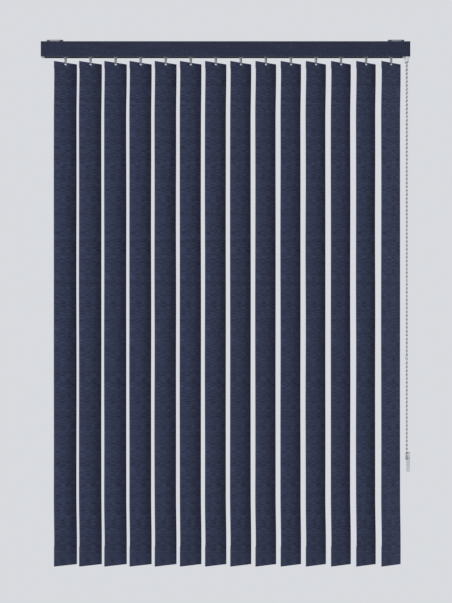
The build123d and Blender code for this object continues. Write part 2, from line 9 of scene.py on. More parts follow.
import bpy
import numpy as np
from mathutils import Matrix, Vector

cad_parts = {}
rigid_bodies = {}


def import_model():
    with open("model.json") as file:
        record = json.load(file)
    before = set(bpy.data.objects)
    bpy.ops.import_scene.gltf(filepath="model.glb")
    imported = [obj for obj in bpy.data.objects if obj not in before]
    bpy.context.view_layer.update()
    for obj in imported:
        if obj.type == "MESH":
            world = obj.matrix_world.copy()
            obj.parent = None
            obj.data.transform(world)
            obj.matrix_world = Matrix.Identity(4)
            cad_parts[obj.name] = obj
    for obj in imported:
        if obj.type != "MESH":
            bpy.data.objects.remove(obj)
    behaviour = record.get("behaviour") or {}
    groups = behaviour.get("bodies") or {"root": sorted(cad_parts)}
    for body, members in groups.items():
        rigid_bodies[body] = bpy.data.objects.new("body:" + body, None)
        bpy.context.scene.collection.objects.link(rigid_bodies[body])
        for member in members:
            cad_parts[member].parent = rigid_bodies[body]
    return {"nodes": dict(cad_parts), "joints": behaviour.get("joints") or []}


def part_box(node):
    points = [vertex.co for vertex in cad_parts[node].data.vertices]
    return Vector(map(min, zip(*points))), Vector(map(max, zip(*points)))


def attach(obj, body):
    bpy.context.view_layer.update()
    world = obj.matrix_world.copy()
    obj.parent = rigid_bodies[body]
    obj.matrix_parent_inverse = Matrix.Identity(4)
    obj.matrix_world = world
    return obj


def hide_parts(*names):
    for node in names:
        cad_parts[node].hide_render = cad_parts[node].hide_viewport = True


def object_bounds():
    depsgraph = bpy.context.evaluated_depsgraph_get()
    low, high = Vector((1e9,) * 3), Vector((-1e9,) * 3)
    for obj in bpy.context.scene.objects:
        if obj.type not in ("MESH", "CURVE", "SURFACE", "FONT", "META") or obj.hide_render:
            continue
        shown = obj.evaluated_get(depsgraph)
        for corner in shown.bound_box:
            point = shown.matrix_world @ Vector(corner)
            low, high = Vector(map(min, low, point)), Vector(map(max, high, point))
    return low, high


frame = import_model()
cad_low, cad_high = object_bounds()
nodes = frame["nodes"]
joints = {j["name"]: j for j in frame["joints"]}
MM = 0.001
print("the blind measures", [round((cad_high[k] - cad_low[k]) / MM) for k in range(3)], "mm")

# %% [markdown]
# ## Where the moving pieces are
# Every louver turns on an upright axis, which its joint records. The louver's own box gives its
# height, and the box's two level sides give its width and how far it is turned from the rail.

# %% Read the louvers' places
NUMBERS = [f"{i + 1:02d}" for i in range(sum(n.startswith("louver_") for n in nodes))]
AXIS_X = {n: joints[f"louver_turn_{n}"]["pos_m"][0] for n in NUMBERS}
CARRIER_BODY = {n: joints[f"louver_turn_{n}"]["parent"] for n in NUMBERS}

louver_low, louver_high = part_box("louver_01")
LOUVER_TOP, LOUVER_BOTTOM = louver_high[2], louver_low[2]
POCKET_THICK = 1.8 * MM
TILT = math.atan2(louver_high[1] - louver_low[1], louver_high[0] - louver_low[0])
LOUVER_WIDTH = math.hypot(louver_high[0] - louver_low[0], louver_high[1] - louver_low[1]) - POCKET_THICK
ALONG = np.array([math.cos(TILT), math.sin(TILT), 0.0])
FRONT = np.array([math.sin(TILT), -math.cos(TILT), 0.0])
print(len(NUMBERS), "louvers,", round(LOUVER_WIDTH / MM, 1), "mm wide, turned", round(math.degrees(TILT), 1))

# %% [markdown]
# ## Camera
# The blind is seen square on from a few metres away, at about the height of its middle.
# The camera stays level, so that the louvers' edges stay upright, and a small shift of the
# lens frames the rail and the hems instead of a tilt.

# %% Place the camera
DISTANCE = 5.2
VIEW_HEIGHT = 1.8542  # of the upright plane through the louvers' axes, seen from top to bottom
CAMERA_X, CAMERA_Z = 0.0015, -0.967
LENS_SHIFT = 0.0887
SENSOR = 36.0

camera_data = bpy.data.cameras.new("camera")
camera_data.sensor_width = SENSOR
camera_data.lens = SENSOR * DISTANCE / VIEW_HEIGHT
camera_data.shift_y = LENS_SHIFT
camera_data.clip_end = 60
camera = bpy.data.objects.new("camera", camera_data)
camera.location = (CAMERA_X, -DISTANCE, CAMERA_Z)
camera.rotation_euler = (math.pi / 2, 0, 0)
bpy.context.scene.collection.objects.link(camera)
bpy.context.scene.camera = camera
print("lens", round(camera_data.lens, 1), "mm")

# %% [markdown]
# ## Meshes from arrays
# A surface is a grid of points: one parameter runs down the rows and the other along them.
# The helper joins neighbouring points with four-sided faces and hands the arrays to Blender.
# A grid may close on itself round either parameter, as a tube does.


# %% Grid helpers
def grid_faces(rows, columns, close_rows=False, close_columns=False):
    """Corner numbers of the quads between neighbouring points of a grid, row by row."""
    r = np.arange(rows if close_rows else rows - 1)
    c = np.arange(columns if close_columns else columns - 1)
    r, c = np.meshgrid(r, c, indexing="ij")
    r1, c1 = (r + 1) % rows, (c + 1) % columns
    corners = [r * columns + c, r * columns + c1, r1 * columns + c1, r1 * columns + c]
    return np.stack(corners, axis=-1).reshape(-1, 4)


def put_mesh(name, points, faces, uv=None, smooth=True):
    """Makes an object from an array of points and one of quads; uv has one pair for each point."""
    mesh = bpy.data.meshes.new(name)
    mesh.vertices.add(len(points))
    mesh.vertices.foreach_set("co", np.asarray(points, np.float32).ravel())
    mesh.loops.add(faces.size)
    mesh.loops.foreach_set("vertex_index", faces.astype(np.int32).ravel())
    mesh.polygons.add(len(faces))
    mesh.polygons.foreach_set("loop_start", np.arange(0, faces.size, faces.shape[1], dtype=np.int32))
    mesh.update(calc_edges=True)
    mesh.polygons.foreach_set("use_smooth", np.full(len(faces), smooth))
    if uv is not None:
        layer = mesh.uv_layers.new(name="cloth")
        layer.data.foreach_set("uv", np.asarray(uv, np.float32)[faces.ravel()].ravel())
    mesh.validate()
    piece = bpy.data.objects.new(name, mesh)
    bpy.context.scene.collection.objects.link(piece)
    return piece


def triangles(piece):
    """The number of triangles that a piece shows, with its modifiers."""
    shown = piece.evaluated_get(bpy.context.evaluated_depsgraph_get())
    mesh = shown.to_mesh()
    mesh.calc_loop_triangles()
    count = len(mesh.loop_triangles)
    shown.to_mesh_clear()
    return count


# %% [markdown]
# ## The chain's line
# The chain is one closed loop of beads. It starts at its connector, runs up the back strand,
# over the chain wheel inside the control unit, down the front strand, round the pulley of the
# chain tidy and back up to the connector. A spline of the second degree touches the middle of
# each side of its control polygon, so a polygon that is drawn round a wheel with equal sides
# gives a line that lies on the wheel to within a third of a percent.


# %% Lay the chain's line
def round_wheel(centre_z, radius, first, last, steps):
    """Control points round a wheel, as (y, z): corners of a regular polygon drawn outside it."""
    angle = np.radians(np.linspace(first, last, steps))
    reach = radius / math.cos(math.radians(abs(last - first) / (steps - 1) / 2))
    return np.stack([reach * np.cos(angle), centre_z + reach * np.sin(angle)], axis=1)


BEAD_PITCH = 12.0 * MM
WHEEL_BEADS = 7
WHEEL_R = WHEEL_BEADS * BEAD_PITCH / (2 * math.pi)
TIDY_R = 9.0 * MM
HALF_SIDE = 22.5  # degrees, half of what one side of the polygon round a wheel takes up
CORNERS = 6
CHAIN_X, _, WHEEL_Z = joints["chain_wheel_turn"]["pos_m"]
TIDY_Z = joints["tidy_pulley_turn"]["pos_m"][2]
connector_low, connector_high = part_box("chain_connector")
CONNECTOR_Y = (connector_low[1] + connector_high[1]) / 2

start = np.array([[CONNECTOR_Y, connector_high[2]]])
finish_point = np.array([[CONNECTOR_Y, connector_low[2]]])
over_wheel = round_wheel(WHEEL_Z, WHEEL_R, -HALF_SIDE, 180 + HALF_SIDE, CORNERS)
round_tidy = round_wheel(TIDY_Z, TIDY_R, 180 - HALF_SIDE, 360 + HALF_SIDE, CORNERS)
route = np.concatenate([start, over_wheel, round_tidy, finish_point])

line_data = bpy.data.curves.new("chain_line", "CURVE")
line_data.dimensions = "3D"
line_data.resolution_u = 12
spline = line_data.splines.new("NURBS")
spline.points.add(len(route) - 1)
flat = np.column_stack([np.full(len(route), CHAIN_X), route, np.ones(len(route))])
spline.points.foreach_set("co", flat.astype(np.float32).ravel())
spline.order_u = 3
spline.use_endpoint_u = True
line_object = bpy.data.objects.new("chain_line", line_data)
line_mesh = bpy.data.meshes.new_from_object(line_object)
chain_line = np.empty(len(line_mesh.vertices) * 3, np.float32)
line_mesh.vertices.foreach_get("co", chain_line)
chain_line = chain_line.reshape(-1, 3).astype(float)
bpy.data.objects.remove(line_object)
bpy.data.meshes.remove(line_mesh)
bpy.data.curves.remove(line_data)

chain_along = np.concatenate([[0], np.cumsum(np.linalg.norm(np.diff(chain_line, axis=0), axis=1))])
CHAIN_LENGTH = chain_along[-1]
print("chain", round(CHAIN_LENGTH, 3), "m")

# %% [markdown]
# ## Beads on a cord
# Each bead is a small ball on a thin cord. Instead of a hundred copies of a ball, the whole
# chain is one surface of revolution carried along the line: the radius swells to a bead every
# 12 mm and falls back to the cord between them. The rings are closer together on the beads.


# %% Make the chain
BEAD_R = 2.25 * MM
CORE_R = 0.6 * MM
BEAD_RINGS = 9
RING_POINTS = 10


def carried(line, along, at):
    """Points of a line at the given distances along it, and its unit direction there."""
    point = np.stack([np.interp(at, along, line[:, k]) for k in range(3)], axis=1)
    direction = np.gradient(point, axis=0)
    return point, direction / np.linalg.norm(direction, axis=1, keepdims=True)


def bead_profile(length, pitch, ball, core, rings):
    """Distances along the chain and the radius at each: a ball is a half circle of its angle."""
    angle = np.linspace(0, math.pi, rings)
    reach = np.sqrt(ball**2 - core**2)
    centres = np.arange(pitch / 2, length - pitch / 4, pitch)
    at = (centres[:, None] - reach * np.cos(angle)[None, :]).ravel()
    radius = np.sqrt(np.maximum(ball**2 - (reach * np.cos(angle)) ** 2, core**2))
    at = np.concatenate([[0], at, [length]])
    radius = np.concatenate([[core], np.tile(radius, len(centres)), [core]])
    return at, radius


def tube(line, along, at, radius, points):
    """Rings round a line in an upright plane: centre + radius (side cos a + other side sin a)."""
    centre, direction = carried(line, along, at)
    side = np.array([1.0, 0.0, 0.0])
    other = np.cross(direction, side)
    angle = np.linspace(0, 2 * math.pi, points, endpoint=False)
    ring = np.cos(angle)[None, :, None] * side + np.sin(angle)[None, :, None] * other[:, None, :]
    return (centre[:, None, :] + radius[:, None, None] * ring).reshape(-1, 3)


at, radius = bead_profile(CHAIN_LENGTH, BEAD_PITCH, BEAD_R, CORE_R, BEAD_RINGS)
chain_points = tube(chain_line, chain_along, at, radius, RING_POINTS)
chain = put_mesh("bead_chain", chain_points, grid_faces(len(at), RING_POINTS, close_columns=True))
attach(chain, "root")
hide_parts("control_chain")
print("chain triangles", triangles(chain))

# %% [markdown]
# ## Louvers
# A louver is one strip of cloth. Its top is folded over a hanger and its bottom over a weight,
# and each folded end is welded to the back of the strip. The strip is a surface of two
# parameters: the distance across it, and the distance along the cloth from one cut end to the
# other, which goes up the back of the top pocket, over the fold, down the front, round the
# bottom fold and up the back again. A box would be quicker, but its hem would have no fold, no
# weld and no pocket. Solidify then gives the cloth its thickness.

# %% The path of the cloth, seen from its edge
CLOTH = 0.4 * MM
LAYER = POCKET_THICK / 2 - CLOTH / 2  # from the middle of the pocket to the middle of a layer
TOP_POCKET = 24 * MM
BOTTOM_POCKET = 65 * MM
TOP_WELD, LOW_WELD = 1.6 * MM, 2.8 * MM
WELD_DENT = 0.12 * MM
BONDED = 0.98  # of a cloth's thickness, how far apart two layers lie in a weld
EYE_HALF = 4.5 * MM
EYE_TALL = 4.6 * MM
UNDER_FOLD = 1.5 * MM  # from the top fold down to the front layer's first row of points
PEG_TOP = 2.8 * MM  # how far the top of the hook's peg is above the hook's foot
EYE_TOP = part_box("hook_01")[0][2] + PEG_TOP
EYE_BOTTOM = EYE_TOP - EYE_TALL


def smooth_step(x):
    """0 below 0, 1 above 1, and the S of three squares less two cubes between."""
    x = np.clip(x, 0, 1)
    return x * x * (3 - 2 * x)


def half_turn(centre_z, first, last, steps):
    """Points round a fold, as (out, z): an arc of a circle whose middle is the pocket's middle."""
    angle = np.radians(np.linspace(first, last, steps))
    return np.stack([LAYER * np.cos(angle), centre_z + LAYER * np.sin(angle)], axis=1)


def back_of_pocket(fold_z, end_z, weld):
    """The back layer from the fold to its cut end: straight, then an S as long as the weld that
    brings it in, then straight again over the weld, where it lies on the front layer."""
    way = 1.0 if end_z > fold_z else -1.0
    shut, open_end = end_z - way * weld, end_z - way * 2 * weld
    hanging = np.linspace(fold_z, open_end, 6)
    closing = np.linspace(open_end, shut, 7)[1:]
    z = np.concatenate([hanging, closing, np.linspace(shut, end_z, 4)[1:]])
    share = smooth_step((z - open_end) / (shut - open_end))
    return np.stack([-LAYER + share * (2 * LAYER - CLOTH * BONDED), z], axis=1)


def weld_dent(z):
    """How far the welds press the front layer in: a bell curve of the height over each weld."""
    top = np.exp(-(((z - (LOUVER_TOP - TOP_POCKET + TOP_WELD / 2)) / TOP_WELD) ** 2))
    low = np.exp(-(((z - (LOUVER_BOTTOM + BOTTOM_POCKET - LOW_WELD / 2)) / LOW_WELD) ** 2))
    return WELD_DENT * (top + low)


fold_top = LOUVER_TOP - LAYER - CLOTH / 2
fold_bottom = LOUVER_BOTTOM + LAYER + CLOTH / 2
eye_rows = np.array([EYE_TOP, (EYE_TOP + EYE_BOTTOM) / 2, EYE_BOTTOM])
near_top = np.array([fold_top - UNDER_FOLD])
top_cut, low_cut = LOUVER_TOP - TOP_POCKET, LOUVER_BOTTOM + BOTTOM_POCKET
top_weld = np.linspace(top_cut + 3 * TOP_WELD, top_cut - 2 * TOP_WELD, 16)
bottom_weld = np.linspace(low_cut + 2 * LOW_WELD, low_cut - 3 * LOW_WELD, 16)
middle = np.linspace(top_weld[-1], bottom_weld[0], 130)[1:-1]
pocket_rows = np.linspace(bottom_weld[-1], fold_bottom, 8)[1:-1]
front_z = np.concatenate([near_top, eye_rows, top_weld, middle, bottom_weld, pocket_rows])
front_layer = np.stack([LAYER - weld_dent(front_z), front_z], axis=1)
back_top = back_of_pocket(fold_top, top_cut, TOP_WELD)
back_top_z = np.unique(np.concatenate([back_top[:, 1], eye_rows]))
back_top = np.stack([np.interp(back_top_z, back_top[::-1, 1], back_top[::-1, 0]), back_top_z], axis=1)
back_bottom = back_of_pocket(fold_bottom, low_cut, LOW_WELD)
cloth_path = np.concatenate(
    [
        back_top,
        half_turn(fold_top, 180, 0, 7)[1:-1],
        front_layer,
        half_turn(fold_bottom, 0, -180, 7)[1:-1],
        back_bottom,
    ]
)
front_start = len(back_top) + 5
front_rows = slice(front_start, front_start + len(front_layer))
cloth_steps = np.linalg.norm(np.diff(cloth_path, axis=0), axis=1)
cloth_along = np.concatenate([[0], np.cumsum(cloth_steps)])
CUT_LENGTH = cloth_along[-1]
print("cloth for one louver:", round(LOUVER_WIDTH / MM, 1), "by", round(CUT_LENGTH / MM, 1), "mm")

# %% [markdown]
# The cloth isn't perfectly flat. Each louver gets its own slow ripple, well under a millimetre,
# and between its pockets it bows a little, so that its long edges stand about two millimetres
# back. The pockets stay flat round their plates. The columns are set so that the punched eye
# for the hook falls on grid lines, and the faces inside the eye are left out.

# %% Weave the louvers' shape
ACROSS = np.concatenate(
    [
        np.linspace(-LOUVER_WIDTH / 2, -EYE_HALF, 9)[:-1],
        np.linspace(-EYE_HALF, EYE_HALF, 4),
        np.linspace(EYE_HALF, LOUVER_WIDTH / 2, 9)[1:],
    ]
)


SLOW_WAVE, TWIST, BOW = 0.22 * MM, 0.25 * MM, 2.2 * MM
CALM = 0.15  # the ripple dies out over this length above and below it, towards the pockets


def ripple(across, z, seed):
    """How far the cloth stands out: a slow sine and a twisting one down the louver, less a bow
    that grows with the square of the distance from its middle."""
    draw = np.random.default_rng(seed)
    phase = draw.uniform(0, 2 * math.pi, 3)
    length = draw.uniform(0.45, 0.9, 2)
    side = across / (LOUVER_WIDTH / 2)
    slow = SLOW_WAVE * np.sin(2 * math.pi * z / length[0] + phase[0])
    twist = TWIST * np.sin(2 * math.pi * z / length[1] + phase[1]) * side
    bow = -BOW * side**2
    hang = smooth_step((top_cut - z) / CALM) * smooth_step((z - low_cut) / CALM)
    return (slow + twist + bow) * hang


def louver_surface(number):
    """Points of a louver, and their places on the flat cloth, by (along the cloth, across it):
    axis + across times the louver's direction + (out + ripple) times its front."""
    out, z = cloth_path[:, 0:1], cloth_path[:, 1:2]
    across = ACROSS[None, :] + 0 * z
    push = out + ripple(across, z, int(number))
    axis = np.array([AXIS_X[number], 0.0, 0.0])
    points = axis + across[..., None] * ALONG + push[..., None] * FRONT
    points[..., 2] += z
    uv = np.stack([across, cloth_along[:, None] + 0 * across], axis=-1)
    return points.reshape(-1, 3), uv.reshape(-1, 2)


def without_eye(faces):
    """The faces without those whose middle lies in the punched eye, on either layer."""
    columns = len(ACROSS)
    row, column = faces[:, 0] // columns, faces[:, 0] % columns
    z_mid = (cloth_path[row, 1] + cloth_path[np.minimum(row + 1, len(cloth_path) - 1), 1]) / 2
    a_mid = (ACROSS[column] + ACROSS[np.minimum(column + 1, columns - 1)]) / 2
    inside = (np.abs(a_mid) < EYE_HALF) & (z_mid < EYE_TOP) & (z_mid > EYE_BOTTOM)
    return faces[~inside]


louver_faces = without_eye(grid_faces(len(cloth_path), len(ACROSS)))
louvers = {}
for n in NUMBERS:
    points, uv = louver_surface(n)
    louvers[n] = put_mesh(f"louver_cloth_{n}", points, louver_faces, uv)
    solid = louvers[n].modifiers.new("cloth", "SOLIDIFY")
    solid.thickness = CLOTH
    solid.offset = 0
print("louver triangles", triangles(louvers["01"]))

# %% [markdown]
# ## Hangers and weights
# Inside the top pocket lies a thin moulded hanger with the eye for the hook, and inside the
# bottom pocket a flat weight. Both are plates with rounded corners. A plate is made of rings:
# each ring is the same rounded outline, and the rings step in over the edge and across the face
# down to the rim of the eye, so that the plate closes on itself like a flat tyre.


# %% Plates for the pockets
EDGE_SHARE = 0.3  # of a plate's thickness, the size of its bevel


def rounded_outline(half_width, half_height, corner, points):
    """A rectangle with rounded corners as one closed ring: x = sign(cos a) (w - r) + r cos a, and
    y = sign(sin a) (h - r) + r sin a, which moves the quarters of a circle out to its corners."""
    angle = np.linspace(0, 2 * math.pi, points, endpoint=False) + math.pi / points
    cos, sin = np.cos(angle), np.sin(angle)
    x = np.sign(cos) * (half_width - corner) + corner * cos
    y = np.sign(sin) * (half_height - corner) + corner * sin
    return np.stack([x, y], axis=1)


def plate(name, number, centre_z, size, thick, corner, eye, points=48):
    """A plate in the louver's plane with one opening; rings run round the outline and the eye."""
    half_width, half_height = size[0] / 2, size[1] / 2
    edge = thick * EDGE_SHARE
    outer = rounded_outline(half_width, half_height, corner, points)
    outer_in = rounded_outline(half_width - edge, half_height - edge, corner, points)
    eye_half, eye_centre, eye_corner = eye
    inner = rounded_outline(eye_half[0], eye_half[1], eye_corner, points) + [0, eye_centre - centre_z]
    rings = [
        (outer, -thick / 2 + edge),
        (outer, thick / 2 - edge),
        (outer_in, thick / 2),
        (inner, thick / 2),
        (inner, -thick / 2),
        (outer_in, -thick / 2),
    ]
    flat_rings = np.stack([ring for ring, _ in rings])
    out = np.array([depth for _, depth in rings])[:, None]
    axis = np.array([AXIS_X[number], 0.0, centre_z])
    points3 = axis + flat_rings[..., 0:1] * ALONG + out[..., None] * FRONT
    points3[..., 2] += flat_rings[..., 1]
    faces = grid_faces(len(rings), points, close_rows=True, close_columns=True)
    return put_mesh(name, points3.reshape(-1, 3), faces, smooth=False)


HANGER, HANGER_CORNER = (78 * MM, 20 * MM), 3 * MM
WEIGHT, WEIGHT_CORNER = (84 * MM, 58 * MM), 4 * MM
INSERT = 0.8 * MM
SLACK = 0.1 * MM
EYE_CORNER = 0.8 * MM
HOLE_HALF, HOLE_CORNER, HOLE_UP = 3 * MM, 2.9 * MM, 20 * MM
hanger_z = LOUVER_TOP - CLOTH - SLACK - HANGER[1] / 2
weight_z = LOUVER_BOTTOM + CLOTH + SLACK + WEIGHT[1] / 2
eye_of_hanger = ((EYE_HALF, (EYE_TOP - EYE_BOTTOM) / 2), (EYE_TOP + EYE_BOTTOM) / 2, EYE_CORNER)
hole_of_weight = ((HOLE_HALF, HOLE_HALF), weight_z + HOLE_UP, HOLE_CORNER)
hangers, weights = {}, {}
for n in NUMBERS:
    hangers[n] = plate(f"hanger_{n}", n, hanger_z, HANGER, INSERT, HANGER_CORNER, eye_of_hanger)
    weights[n] = plate(f"hem_weight_{n}", n, weight_z, WEIGHT, INSERT, WEIGHT_CORNER, hole_of_weight)
    for piece in (louvers[n], hangers[n], weights[n]):
        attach(piece, f"louver_body_{n}")
        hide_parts(f"louver_{n}")
print("hanger triangles", triangles(hangers["01"]))

# %% [markdown]
# ## Cloth on the fascia
# The fascia is a flat strip whose front is covered with the louvers' cloth. The cloth is glued
# on, so it follows the strip, and its cut edges turn in to the strip at the top and the bottom.
# One parameter runs along the rail, the other round the strip's section.

# %% Cover the fascia
fabric_low, fabric_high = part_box("fascia_fabric")
SKIN = fabric_high[1] - fabric_low[1]
TURN, SKIN_THICK = SKIN * 0.9, SKIN * 0.8  # how deep the cut edges turn in, and the cloth's thickness
UNEVEN, UNEVEN_RATE = 0.04 * MM, 31.0  # height of the glued cloth's waves, and radians a metre
angle = np.radians(np.linspace(0, 90, 5))
front_y = fabric_low[1] + SKIN / 2
turned_y = front_y + TURN * (1 - np.cos(angle))
top_turn, low_turn = fabric_high[2] - TURN, fabric_low[2] + TURN
section_top = np.stack([turned_y, top_turn + TURN * np.sin(angle)], axis=1)
section_flat = np.stack([np.full(9, front_y), np.linspace(low_turn, top_turn, 9)], axis=1)
section_low = np.stack([turned_y, low_turn - TURN * np.sin(angle)], axis=1)
section = np.concatenate([section_low[::-1], section_flat[1:-1], section_top])
section_along = np.concatenate([[0], np.cumsum(np.linalg.norm(np.diff(section, axis=0), axis=1))])
stations = np.linspace(fabric_low[0], fabric_high[0], 120)
fade = np.cos(np.linspace(-1.4, 1.4, len(section)))  # nearly nothing at both edges
wave = UNEVEN * np.sin(stations * UNEVEN_RATE)[:, None] * fade[None, :]
skin_points = np.empty((len(stations), len(section), 3))
skin_points[..., 0] = stations[:, None]
skin_points[..., 1] = section[:, 0] + wave
skin_points[..., 2] = section[:, 1]
skin_uv = np.stack([stations[:, None] + 0 * section_along, section_along + 0 * stations[:, None]], axis=-1)
skin_faces = grid_faces(len(stations), len(section))[:, ::-1]
fascia = put_mesh("fascia_cloth", skin_points.reshape(-1, 3), skin_faces, skin_uv.reshape(-1, 2))
solid = fascia.modifiers.new("cloth", "SOLIDIFY")
solid.thickness = SKIN_THICK
solid.offset = 0
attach(fascia, "root")
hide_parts("fascia_fabric")
print("fascia cloth triangles", triangles(fascia))

# %% [markdown]
# ## Worms
# In every carrier a short worm slides on the grooved tilt rod and turns the hook's wheel.
# Its thread is a ridge that moves on by one pitch a turn: the radius at each point depends on
# its distance along the rod less its angle's share of the pitch. The bore closes the ring.

# %% Cut the worms
rod_low, rod_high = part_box("tilt_rod")
_, ROD_Y, ROD_Z = joints["tilt_rod_turn"]["pos_m"]
ROD_R = (rod_high[1] - rod_low[1]) / 2
WORM_LENGTH = 10.6 * MM
WORM_ROOT, WORM_TIP = ROD_R + 0.35 * MM, ROD_R + 0.85 * MM
WORM_BORE = ROD_R + 0.03 * MM
THREAD_PITCH = 2.36 * MM
RUN_OUT = 0.6 * MM  # the thread dies out over this length at each end


def worm_surface(x):
    """Rings round the rod: bore, end face, threaded outside, end face. The thread's height is a
    smoothed cos(2 pi station / pitch - angle)."""
    angle = np.linspace(0, 2 * math.pi, 28, endpoint=False)[None, :]
    station = np.linspace(-WORM_LENGTH / 2, WORM_LENGTH / 2, 64)[:, None]
    wave = 0.5 + 0.5 * np.cos(2 * math.pi * station / THREAD_PITCH - angle)
    runs_out = smooth_step((WORM_LENGTH / 2 - np.abs(station)) / RUN_OUT)
    thread = WORM_ROOT + (WORM_TIP - WORM_ROOT) * smooth_step(1.6 * wave - 0.3) * runs_out
    bore = np.full((2, angle.shape[1]), WORM_BORE)
    radius = np.concatenate([bore[:1], thread, bore[1:]])
    along = np.concatenate([station[:1], station, station[-1:]]) + 0 * radius
    points = np.stack([x + along, ROD_Y + radius * np.cos(angle), ROD_Z + radius * np.sin(angle)], axis=-1)
    return points.reshape(-1, 3), grid_faces(radius.shape[0], radius.shape[1], True, True)


worms = {}
for n in NUMBERS:
    points, faces = worm_surface(AXIS_X[n])
    worms[n] = put_mesh(f"worm_{n}", points, faces)
    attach(worms[n], CARRIER_BODY[n])
print("worm triangles", triangles(worms["01"]))

# %% [markdown]
# ## Materials
# Each finish is a Principled shader fed by patterns that are worked out, not painted. The
# patterns that several finishes share are node groups with named inputs and outputs. Cloth
# patterns read the cloth's own flat coordinates in metres, so threads keep their size and
# follow the folds; mouldings and metal read the piece's own coordinates.


# %% Node helpers
def add(tree, kind, inputs=None, **settings):
    """Adds a node, sets its properties, then fills or links its inputs."""
    node = tree.nodes.new(kind)
    for key, value in settings.items():
        setattr(node, key, value)
    for key, value in (inputs or {}).items():
        if isinstance(value, bpy.types.NodeSocket):
            tree.links.new(value, node.inputs[key])
        else:
            node.inputs[key].default_value = value
    return node


def maths(tree, operation, a, b=0.0):
    """One Math node; each value may be a number or a socket."""
    return add(tree, "ShaderNodeMath", {0: a, 1: b}, operation=operation).outputs[0]


def new_group(name, inputs, outputs):
    """A shader node group with named sockets: (name, socket type, default) for each input."""
    tree = bpy.data.node_groups.new(name, "ShaderNodeTree")
    for label, kind, default in inputs:
        socket = tree.interface.new_socket(name=label, in_out="INPUT", socket_type=kind)
        if default is not None:
            socket.default_value = default
    for label, kind in outputs:
        tree.interface.new_socket(name=label, in_out="OUTPUT", socket_type=kind)
    return tree, tree.nodes.new("NodeGroupInput"), tree.nodes.new("NodeGroupOutput")


def use_group(tree, group, **inputs):
    """Places a node group in a tree and fills its inputs by name, with _ for a space."""
    node = tree.nodes.new("ShaderNodeGroup")
    node.node_tree = group
    for key, value in inputs.items():
        key = key.replace("_", " ")
        if isinstance(value, bpy.types.NodeSocket):
            tree.links.new(value, node.inputs[key])
        else:
            node.inputs[key].default_value = value
    return node


# %% [markdown]
# A plain weave: threads cross over and under each other. Along each direction a thread's
# round back is the size of a sine, and the product of both sines says which set is on top.


# %% The weave group
FLOAT, VECTOR = "NodeSocketFloat", "NodeSocketVector"


def weave_group():
    """Inputs: flat coordinates and the two thread spacings in metres. Outputs: height, which set."""
    tree, given, made = new_group(
        "plain weave",
        [("Vector", VECTOR, None), ("Warp", FLOAT, 0.0006), ("Weft", FLOAT, 0.0008)],
        [("Height", FLOAT), ("Over", FLOAT)],
    )
    split = add(tree, "ShaderNodeSeparateXYZ", {0: given.outputs["Vector"]})
    u = maths(tree, "MULTIPLY", maths(tree, "DIVIDE", split.outputs[0], given.outputs["Warp"]), math.pi)
    v = maths(tree, "MULTIPLY", maths(tree, "DIVIDE", split.outputs[1], given.outputs["Weft"]), math.pi)
    su, sv = maths(tree, "SINE", u), maths(tree, "SINE", v)
    product = maths(tree, "MULTIPLY", su, sv)
    over = maths(tree, "ADD", maths(tree, "MULTIPLY", maths(tree, "SIGN", product), 0.5), 0.5)
    warp_back = maths(tree, "ABSOLUTE", su)
    weft_back = maths(tree, "ABSOLUTE", sv)
    height = add(tree, "ShaderNodeMix", {0: over, 2: weft_back, 3: warp_back}, data_type="FLOAT")
    tree.links.new(height.outputs[0], made.inputs["Height"])
    tree.links.new(over, made.inputs["Over"])
    return tree


def slub_group():
    """Uneven weft: noise drawn out along the thread. Outputs a mask from 0 to 1."""
    tree, given, made = new_group(
        "uneven weft",
        [("Vector", VECTOR, None), ("Length", FLOAT, 0.03), ("Spacing", FLOAT, 0.002)],
        [("Mask", FLOAT)],
    )
    split = add(tree, "ShaderNodeSeparateXYZ", {0: given.outputs["Vector"]})
    along = maths(tree, "DIVIDE", split.outputs[0], given.outputs["Length"])
    across = maths(tree, "DIVIDE", split.outputs[1], given.outputs["Spacing"])
    place = add(tree, "ShaderNodeCombineXYZ", {0: along, 1: across})
    noise = add(tree, "ShaderNodeTexNoise", {"Vector": place.outputs[0], "Scale": 1.0, "Detail": 2.5})
    mask = add(tree, "ShaderNodeMapRange", {0: noise.outputs[0], 1: 0.37, 2: 0.63})
    tree.links.new(mask.outputs[0], made.inputs["Mask"])
    return tree


def fleck_group():
    """Staggered flecks: the bright ends of a diamond lattice, the product of two sines."""
    tree, given, made = new_group(
        "woven flecks",
        [("Vector", VECTOR, None), ("Across", FLOAT, 0.006), ("Up", FLOAT, 0.004), ("Size", FLOAT, 0.9)],
        [("Mask", FLOAT)],
    )
    split = add(tree, "ShaderNodeSeparateXYZ", {0: given.outputs["Vector"]})
    u = maths(tree, "MULTIPLY", maths(tree, "DIVIDE", split.outputs[0], given.outputs["Across"]), math.pi)
    v = maths(tree, "MULTIPLY", maths(tree, "DIVIDE", split.outputs[1], given.outputs["Up"]), math.pi)
    diamond = maths(tree, "MULTIPLY", maths(tree, "SINE", u), maths(tree, "SINE", v))
    low = maths(tree, "SUBTRACT", 1.0, given.outputs["Size"])
    peaks = add(tree, "ShaderNodeMapRange", {0: diamond, 1: low, 2: 1.0})
    tree.links.new(peaks.outputs[0], made.inputs["Mask"])
    return tree


